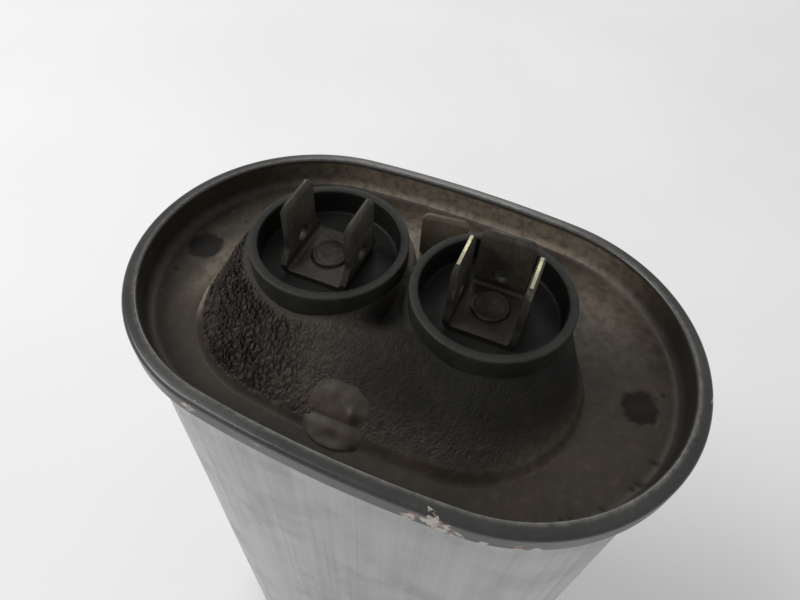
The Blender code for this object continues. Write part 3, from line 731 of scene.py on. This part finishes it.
# ------------------------------------------------------------------ raised ground round the cups
# up the slope: inset along X, inset at the front, inset at the back, share of the rise from panel to crest
steps = ((0.0, 0.0, 0.0, 0.0), (0.8, 1.2, 0.3, 0.08), (1.7, 2.8, 0.6, 0.22), (2.9, 5.3, 1.1, 0.48),
         (4.0, 7.8, 1.7, 0.74), (4.7, 9.4, 2.2, 0.89), (5.7, 11.2, 3.2, 0.97), (8.1, 13.8, 5.3, 1.0))
marks = (0.0, 0.10, 0.22, 0.42, 0.62, 0.76, 0.88, 1.0)      # where each step sits among the rows
foot_z = panel - 0.09                       # the foot runs out below the panel's surface
crest = top + 4.0
rise = crest - foot_z
front_reach, back_reach, ground_half, ground_shift = half_width - 4.45, cup_radius + 1.7, 25.6, -1.0
slope_rows, flat_rows = 170, 30
end_points, side_points = 430, 230
rounding = np.hanning(31)
rounding /= rounding.sum()


def eased(column):
    """One column of steps along the slope, with its corners rounded off."""
    values = np.interp(np.linspace(0, 1, slope_rows), marks, [row[column] for row in steps])
    padded = np.concatenate([2 * values[0] - values[15:0:-1], values, np.full(15, values[-1])])
    return np.convolve(padded, rounding, "valid")


run_ins, front_ins, back_ins, climb = (eased(c) for c in range(4))
climb = np.maximum(climb, 0.0) * smooth(0.0, 0.16, np.linspace(0, 1, slope_rows))
ground_rows, row_shares = [], []
for i in range(slope_rows + flat_rows):
    k = min(i, slope_rows - 1)
    front, back, a = front_reach - front_ins[k], back_reach - back_ins[k], ground_half - run_ins[k]
    shrink = 1.0 if i < slope_rows else 1.0 - (i - slope_rows + 1) / (flat_rows + 0.5)
    w = (front + back) / 2
    xy = ring(oval(a, w, w - 0.5, end_points, side_points), 0.0)
    spine = np.column_stack([np.clip(xy[:, 0], w - a, a - w), np.zeros(len(xy))])
    xy = spine + (xy - spine) * shrink + np.array([ground_shift, (back - front) / 2])
    ground_rows.append(xy)
    row_shares.append(np.full(len(xy), climb[k]))
ring_count = len(ground_rows[0])
gx, gy = np.concatenate(ground_rows).T
shares = np.concatenate(row_shares)
(lx, ly), (rx, ry) = cups
from_left = np.hypot(gx - lx, gy - ly) - cup_radius
from_right = np.hypot(gx - rx, gy - ry) - cup_radius
near = np.minimum(from_left, from_right)

# behind the cups the ground follows their outline and leaves a bay for the case tab
behind = smooth(0.5, 4.5, gy) * smooth(7.5, 5.0, np.abs(gx))
shares = shares * (1 - behind * smooth(0.5, 2.6, near))
gz = foot_z + rise * shares
# the pocket between the cups, also given painted shade below
pocket = patch(gx, gy, -0.6, -5.0, 2.8, 2.5)
gz -= 2.6 * pocket * smooth(-1.2, -2.6, gy) * smooth(0.0, 0.9, near)

# coarse wrinkles on the slope to the left and front of the left cup
bearing = np.degrees(np.arctan2(gy - ly, gx - lx)) % 360.0
coarse = smooth(158, 182, bearing) * smooth(318, 250, bearing) * smooth(0.1, 1.2, from_left)
coarse *= smooth(0.08, 0.17, shares) * smooth(0.965, 0.90, shares)


def cobbles(u, v, seed):
    """Rounded cells with cracks between: 0 in a crack, 1 on a cell's back."""
    iu, iv = np.floor(u).astype(np.int64), np.floor(v).astype(np.int64)
    first, second = np.full(u.shape, 9.0), np.full(u.shape, 9.0)
    for du in (-1, 0, 1):
        for dv in (-1, 0, 1):
            cu = iu + du + 0.15 + 0.7 * lattice(iu + du, iv + dv, seed)
            cv = iv + dv + 0.15 + 0.7 * lattice(iu + du, iv + dv, seed + 5)
            d = np.hypot(u - cu, v - cv)
            second = np.minimum(second, np.maximum(first, d))
            first = np.minimum(first, d)
    return smooth(0.0, 0.55, second - first) * (1.15 - 0.55 * first)


warp_x = gx + 0.55 * fbm(gx / 1.1, gy / 1.1, 31, 4)
warp_y = gy + 0.55 * fbm(gx / 1.1, gy / 1.1, 47, 4)
slope_radius = 13.0                         # where one radian round the left cup is this long
round_left = np.arctan2(warp_y - ly, warp_x - lx) * slope_radius
out_left = np.hypot(warp_x - lx, warp_y - ly)
ribs = cobbles(round_left / 0.85, out_left / 1.9, 61)
lumps = cobbles(round_left / 0.62, out_left / 0.72, 67)
grains = cobbles(warp_x / 0.36, warp_y / 0.34, 71)
ribbed = smooth(0.52, 0.22, shares) * smooth(250, 215, bearing)
wrinkle = lumps * (1 - ribbed) + ribs * ribbed
patchy = 0.55 + 0.45 * smooth(-0.4, 0.2, noise2(gx / 2.2, gy / 2.2, 83))
heap = fbm(gx / 0.75, gy / 0.75, 79, 4)
gz += coarse * patchy * (0.50 * (wrinkle - 0.75) + 0.14 * grains + 0.42 * heap)
granular = smooth(0.06, 0.30, shares) * smooth(0.0, 0.7, near) * smooth(24.0, 15.0, gx) * (1 - behind)
gz += granular * (1 - coarse) * (0.10 * (grains - 0.6) + 0.10 * fbm(gx / 0.8, gy / 0.8, 95, 3))
gz += smooth(0.03, 0.2, shares) * 0.15 * fbm(gx / 5.0, gy / 5.0, 97, 3)
under_cup = smooth(-0.3, -0.7, near)
gz = np.maximum(gz * (1 - under_cup) + (top - 3.3) * under_cup, foot_z)

surface = np.column_stack([gx, gy, gz])
base = surface[:ring_count].copy()
base[:, 2] = foot_z - 0.06
ground_verts = np.concatenate([base, surface])
ground_faces = capped_faces(slope_rows + flat_rows + 1, ring_count)
wear_and_painted_light = unworn(len(ground_verts))
# painted shade on the front slopes, in the wrinkles' cracks and in the pocket between the cups
shaded = smooth(0.12, 0.6, shares) * smooth(3.0, -4.0, gy) * (0.30 + 0.62 * smooth(-8.0, 6.0, gx))
crack_shade = coarse * (0.35 + 0.65 * smooth(0.6, 0.2, wrinkle + 0.5 * heap))
wear_and_painted_light[ring_count:, 2] = np.clip(np.maximum.reduce([shaded, crack_shade, pocket * smooth(-1.0, -2.6, gy)]), 0, 1)
# painted highlights: the lit crescent at the left foot, the strip behind the cups and the right foot
left_foot = smooth(0.20, 0.10, shares) * smooth(0.0, 0.02, shares)
left_foot = left_foot * smooth(-15.0, -20.0, gx) * smooth(-13.0, -7.0, gy)
right_foot = smooth(0.5, 0.1, shares) * smooth(14.0, 22.0, gx)
painted_highlights = left_foot * 1.3 + behind * 0.45 + right_foot * 0.2
wear_and_painted_light[ring_count:, 1] = np.clip(painted_highlights + 0.14 * granular * smooth(2.0, -8.0, gx), 0, 1)
ground = new_object("ground_compound", ground_verts, ground_faces, [ground_paint], None, 90.0, {"wear_and_painted_light": wear_and_painted_light})
settle(ground, "terminal_compound")


# ------------------------------------------------------------------ solder over the fill hole
low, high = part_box("fill_solder")
bead_x, bead_y, bead_reach = (low.x + high.x) / 2 / MM, -17.0, 4.7
lean = math.radians(36.0)                   # slope of the ground there
around = np.hypot(gx - bead_x, gy - bead_y) < bead_reach + 1.5
near_x, near_y, near_z = gx[around], gy[around], gz[around]


def ground_height(px, py):
    """Height of the raised ground at each place, with its grain averaged out."""
    share = np.exp(-((near_x - px[:, None]) ** 2 + (near_y - py[:, None]) ** 2) / 0.18)
    return (share * near_z).sum(axis=1) / share.sum(axis=1)


def bead_rise(u, w):
    """Thickness of the solder over the ground: two lobes with a fold between, and a small nub."""
    upper = np.exp(-(((u + 0.3) / 3.5) ** 2 + ((w - 1.5) / 2.2) ** 2) ** 2)
    lower = np.exp(-(((u - 0.2) / 3.7) ** 2 + ((w + 2.1) / 1.9) ** 2) ** 2)
    nub = patch(u, w, 1.7, 0.8, 0.62, 0.75)
    lobes = ((0.66 * upper) ** 5 + (0.74 * lower) ** 5) ** 0.2
    return lobes + 0.55 * nub + 0.12 * noise2(u / 1.6, w / 1.6, 5)


turns = np.linspace(0, 2 * math.pi, 140, endpoint=False)
bead_rows = []
skirt, edge_sunk = 1.0, 0.15                # depth of the underside and of the rim below the ground
bead_rings = [(bead_reach, skirt), (bead_reach, edge_sunk)]
bead_rings += [(bead_reach * t, edge_sunk) for t in np.linspace(0.97, 0.02, 44)]
for r, sunk in bead_rings:
    u, w = r * np.cos(turns), r * np.sin(turns)
    px, py = bead_x + u, bead_y + w * math.cos(lean)
    out = bead_rise(u, w) * smooth(bead_reach, 0.72 * bead_reach, r) - sunk
    bead_rows.append(np.column_stack([px, py - out * math.sin(lean), ground_height(px, py) + out * math.cos(lean)]))
verts = np.concatenate(bead_rows)
faces = capped_faces(len(bead_rows), len(turns))
wear_and_painted_light = unworn(len(verts))
wear_and_painted_light[:, 1] = 0.10
blob = new_object("fill_solder_bead", verts, faces, [ground_paint], None, 60.0, {"wear_and_painted_light": wear_and_painted_light})
settle(blob, "fill_solder")


# ------------------------------------------------------------------ cups
cup_bottom = top - 3.0
rivet_hole = 1.85
outer_round, inner_round, floor_round = 0.28, 0.24, 0.4
bore_low = cup_bore - 0.01                  # the bore narrows a little below the mouth
cup_section = [(rivet_hole, cup_bottom), (6.0, cup_bottom), (9.2, cup_bottom), (9.5, cup_bottom + 0.15),
               (cup_radius, cup_bottom + 0.5)]
cup_section += [(cup_radius, z) for z in np.linspace(cup_bottom + 1.5, cup_rim - 0.9, 5)]
cup_section += arc((cup_radius - outer_round, cup_rim - outer_round), outer_round, 0, 90, 6)
cup_section += arc((cup_bore + inner_round, cup_rim - inner_round), inner_round, 90, 180, 6)
cup_section += [(bore_low, z) for z in np.linspace(cup_rim - 1.0, cup_floor + 0.6, 3)]
cup_section += arc((bore_low - floor_round, cup_floor + floor_round), floor_round, 0, -90, 5)
cup_section += [(6.5, cup_floor), (4.0, cup_floor), (rivet_hole, cup_floor)]

for side, (cx, cy) in zip(("left", "right"), cups):
    def wobble(v, cx=cx, cy=cy):
        """Slightly uneven wall and rim, as moulded and handled."""
        a = np.arctan2(v[:, 1] - cy, v[:, 0] - cx)
        r = np.hypot(v[:, 0] - cx, v[:, 1] - cy)
        shift = 0.03 * noise2(a * 4 + 9, v[:, 2] * 0.7, 21) + 0.02 * noise2(a * 13 + 40, v[:, 2], 23)
        shift = np.where(r > 8.0, shift, 0.0) - 0.012 * (r > 9.4)
        v[:, 0] += shift * np.cos(a)
        v[:, 1] += shift * np.sin(a)
        v[:, 2] -= np.where(v[:, 2] > cup_rim - 0.1, 0.02 + 0.03 * np.abs(noise2(a * 7, r, 25)), 0.0)
        return v

    verts, faces = revolve(cup_section, cx, cy, 168, wobble)
    wear_and_painted_light = unworn(len(verts))
    # painted highlight: the top of the rim made paler
    wear_and_painted_light[:, 1] = smooth(cup_rim - 0.35, cup_rim - 0.02, verts[:, 2]) * 0.55
    # painted shade: the bore and floor inside the cup made darker
    wear_and_painted_light[:, 2] = smooth(cup_radius - 0.75, cup_radius - 0.95, np.hypot(verts[:, 0] - cx, verts[:, 1] - cy))
    cup = new_object("cup_" + side, verts, faces, [cup_stuff], None, 40.0, {"wear_and_painted_light": wear_and_painted_light})
    settle(cup, "terminal_cup_" + side)


# ------------------------------------------------------------------ blades, rivets and case tab
edge_break = 0.09                           # width of the bevel on sheared edges


def tip_stations(along, tip, low, high):
    """Last stations of a blade: corners cut back with a soft turn into the tip."""
    corner, turned_in, cut_in, count = 1.0, 0.35, 0.45, 6
    out = [(along, tip - corner, low, high)]
    for k in range(1, count + 1):
        t = k / count
        a = math.pi / 2 * t
        inset = turned_in * (1 - math.cos(a)) + cut_in * t
        out.append((along, tip - corner / 2 * (1 - math.sin(a)) - corner / 2 * (1 - t), low + inset, high - inset))
    return out


def blade_path(reach, sign, base, tip, low_side, high_side, forward=0.0):
    """Base plate from near its middle, round the bend, in to blade width and up to a blade tip."""
    bend, shoulder = 0.9, 3.0
    low, high = -blade_half - forward, blade_half - forward
    out = [(sign * (reach - bend - 0.4), base, -low_side, high_side)]
    for along, rise in arc((reach - bend, bend), bend, -90, 0, 9):
        out.append((sign * along, base + rise, -low_side, high_side))
    for k in range(1, 7):
        t = k / 6
        narrowed = min(1.0, 1.15 * t)
        out.append((sign * reach, base + bend + (shoulder - bend) * t,
                    -low_side + (low + low_side) * narrowed, high_side + (high - high_side) * narrowed))
    return out + tip_stations(sign * reach, tip, low, high)


def placer(cx, cy, angle):
    """Function that puts (along, side, height) at a turned place on the lid."""
    c, s = math.cos(angle), math.sin(angle)

    def place(along, side, height):
        return (cx + along * c - side * s, cy + along * s + side * c, height)
    return place


def sheet_part(name, path, place, mats):
    """Bent strip of blade sheet; mats are for its faces, its narrow sides and its ends."""
    v, f, m = ribbon(path, place, blade_sheet)
    return new_object(name, v, f, mats, m, 35.0)


def terminal(name, node, cx, cy, rear, edge, tip_edge):
    """Base plate with two upright blades, and a rear one if asked for."""
    place = placer(cx, cy, turn)
    base = cup_floor + 0.02 + blade_sheet / 2
    plate_front = 4.55
    plate_back = rear_reach - 1.0 if rear else 4.0
    forward = side_forward if rear else 0.0
    hole_radius, rivet_radius, reach_through = 1.0, 1.55, 3.0
    sides = [blade_path(blade_reach, sign, base, blade_tip, plate_front, plate_back, forward) for sign in (-1, 1)]
    obj = sheet_part(name, list(reversed(sides[0])) + sides[1], place, [blade_face, edge, tip_edge])
    hole = blade_tip - blade_hole_drop

    def back(along, side, height):
        return place(-side, along, height)

    if rear:
        strip = [(1.5, base, -blade_half, blade_half)]
        strip += blade_path(rear_reach, 1, base, blade_tip - 0.1, blade_half, blade_half)
        combine(obj, sheet_part("cutter", strip, back, [blade_face, edge, dull_edge]), "UNION")
        across = (-math.sin(turn), math.cos(turn), 0)
        v, f = rod(back(rear_reach, 0.0, hole), across, hole_radius, reach_through, 32)
        cut(obj, v, f, edge)
    for sign in (-1, 1):
        across = (math.cos(turn), math.sin(turn), 0)
        v, f = rod(place(sign * blade_reach, -forward, hole), across, hole_radius, reach_through, 32)
        cut(obj, v, f, edge)
    v, f = rod((cx, cy, base), (0, 0, 1), rivet_radius, 2 * reach_through, 32)
    cut(obj, v, f, blade_face)
    soften(obj, edge_break)
    settle(obj, node)


def rivet(side, cx, cy):
    """Shank with a rolled head on the base plate and a flange inside the case."""
    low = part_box("rivet_" + side)[0].z / MM
    seat = cup_floor + 0.03 + blade_sheet
    profile = [(0.0, low), (1.6, low), (2.2, low + 0.3), (2.3, low + 0.65), (1.5, low + 0.7), (1.5, seat)]
    profile += [(2.28, seat), (2.36, seat + 0.1)]
    profile += arc((2.06, seat + 0.10), 0.28, 0, 150, 9)
    profile += [(1.4, seat + 0.12), (0.8, seat + 0.07), (0.0, seat + 0.10)]

    def uneven(v):
        v[:, 2] += np.where(v[:, 2] > seat - 0.01, 0.09 * noise2(v[:, 0] / 1.1 + cx, v[:, 1] / 1.1, 3), 0.0)
        return v

    v, f = dome(profile, 64, uneven)
    obj = new_object("rivet_head_" + side, v + np.array([cx, cy, 0.0]), f, [rivet_metal], None, 50.0)
    settle(obj, "rivet_" + side)


terminal("terminal_left", "two_blade_terminal", cups[0][0], cups[0][1], False, dark_edge, dull_edge)
terminal("terminal_right", "three_blade_terminal", cups[1][0], cups[1][1], True, dark_edge, bright_edge)
for side, (cx, cy) in zip(("left", "right"), cups):
    rivet(side, cx, cy)

# the case tab stands across the lid on its bent foot
tab_place = placer(0.0, back_reach + 0.95, math.radians(8.0))
tab_low = panel + 0.05 + blade_sheet / 2
tab_high = panel + 8.1
tab_bend = 1.0
path = [(3.6, tab_low, -blade_half, blade_half)]
for along, rise in arc((tab_bend, tab_bend), tab_bend, 270, 180, 9):
    path.append((along, tab_low + rise, -blade_half, blade_half))
path += tip_stations(0.0, tab_high, -blade_half, blade_half)


def crosswise(along, side, height):
    return tab_place(side, along, height)


tab = sheet_part("tab_on_case", path, crosswise, [tab_face, tab_edge, tab_edge])
soften(tab, edge_break)
settle(tab, "case_tab")


# ------------------------------------------------------------------ can
can_oval = oval(half_length, half_width, end_radius, 130, 40)
n_can = len(can_oval)
inner_can = can_wall - can_sheet
hook_in, hook_out = can_hook
hook_end = top - 2.66
curl_top = top - 1.2                        # where the can's edge turns over
base_round, curl_round = 1.6, 0.22
prof = arc((can_wall - base_round, base_round), base_round, 270, 360, 10)
prof += [(can_wall, h) for h in np.linspace(6.0, top - 6.0, 26)]
prof += [(can_wall, top - 4.0), (can_wall, curl_top - 0.3), (hook_in, curl_top - 0.3), (hook_in, hook_end),
         (hook_out, hook_end), (hook_out, curl_top - 0.2)]
prof += arc((hook_out - curl_round, curl_top - curl_round), curl_round, 30, 90, 4)
prof += [(inner_can + 0.2, curl_top), (inner_can, curl_top - 0.2), (inner_can, 2.0), (inner_can - 0.4, 0.9),
         (inner_can - 1.6, 0.6)]
rows = [np.column_stack([ring(can_oval, d), np.full(n_can, h)]) for d, h in prof]
can_verts = np.concatenate(rows)
heading = np.tile(can_oval[:, 3], len(prof))
# shallow waves in the long plain wall
skin = (np.repeat([d for d, _ in prof], n_can) == can_wall) & (can_verts[:, 2] < top - 5)
dent = 0.10 * fbm(np.cos(heading) * 1.6 + 5, can_verts[:, 2] / 30.0 + np.sin(heading) * 1.6, 33, 3) - 0.06
can_verts[:, :2] += np.column_stack([np.cos(heading), np.sin(heading)]) * np.where(skin, dent, 0.0)[:, None]
can = new_object("can_drawn", can_verts, capped_faces(len(prof), n_can), [can_metal], None, 50.0)
settle(can, "can")


# ------------------------------------------------------------------ floor, light and camera
reach, floor_z = 1.6, -0.0002               # metres
floor = bpy.data.meshes.new("floor")
corners = [(-reach, -reach, floor_z), (reach, -reach, floor_z), (reach, reach, floor_z), (-reach, reach, floor_z)]
floor.from_pydata(corners, [], [(0, 1, 2, 3)])
floor_obj = bpy.data.objects.new("floor", floor)
bpy.context.scene.collection.objects.link(floor_obj)
s = Shade("floor_paper")
tone = s.mix(s.span(s.noise(6, 3, 0.5), 0.3, 0.7), (0.80, 0.80, 0.80), (0.84, 0.84, 0.84))
floor.materials.append(s.finish(tone, 0.9))

world = bpy.data.worlds.new("studio")
world.use_nodes = True
bpy.context.scene.world = world
sky = world.node_tree.nodes["Background"]
sky.inputs["Color"].default_value = (0.97, 0.98, 1.0, 1.0)
sky.inputs["Strength"].default_value = 0.51


def area(name, bearing, height, distance, size_x, size_y, power, colour):
    """Rectangular light aimed at the lid; bearing (0 along +X) and height in degrees, sizes in metres."""
    data = bpy.data.lights.new(name, "AREA")
    data.shape = "RECTANGLE"
    data.size, data.size_y = size_x, size_y
    data.energy = power
    data.color = colour
    b, h = math.radians(bearing), math.radians(height)
    aim = Vector((0.0, 0.0, top * MM))
    out = Vector((math.cos(b) * math.cos(h), math.sin(b) * math.cos(h), math.sin(h)))
    obj = bpy.data.objects.new(name, data)
    obj.location = aim + out * distance
    obj.rotation_mode = "QUATERNION"
    obj.rotation_quaternion = (-out).to_track_quat("-Z", "Y")
    bpy.context.scene.collection.objects.link(obj)


area("softbox_left", 202, 46, 1.0, 0.50, 0.50, 6.4, (1.0, 0.995, 0.98))
area("backdrop_glow", 106, 33, 1.1, 0.50, 0.30, 2.2, (1.0, 0.99, 0.97))

camera_data = bpy.data.cameras.new("camera")
camera = bpy.data.objects.new("camera", camera_data)
bpy.context.scene.collection.objects.link(camera)
camera_place = Vector((16.49, -45.19, top + 57.22)) * MM
azimuth, elevation, roll = (math.radians(v) for v in (21.14, 50.06, 4.06))
flat = math.cos(elevation)
away = Vector((math.sin(azimuth) * flat, -math.cos(azimuth) * flat, math.sin(elevation)))
level = (-away).cross(Vector((0, 0, 1))).normalized()
above = level.cross(-away)
x_axis = math.cos(roll) * level + math.sin(roll) * above
y_axis = -math.sin(roll) * level + math.cos(roll) * above
pose = Matrix((x_axis, y_axis, away)).transposed()
camera.matrix_world = Matrix.Translation(camera_place) @ pose.to_4x4()
camera_data.sensor_fit = "HORIZONTAL"
camera_data.sensor_width = 36.0
camera_data.lens = 27.13
camera_data.clip_start = 0.005
camera_data.clip_end = 50.0
bpy.context.scene.camera = camera
bpy.context.scene.view_settings.view_transform = "Standard"
bpy.context.scene.view_settings.look = "None"
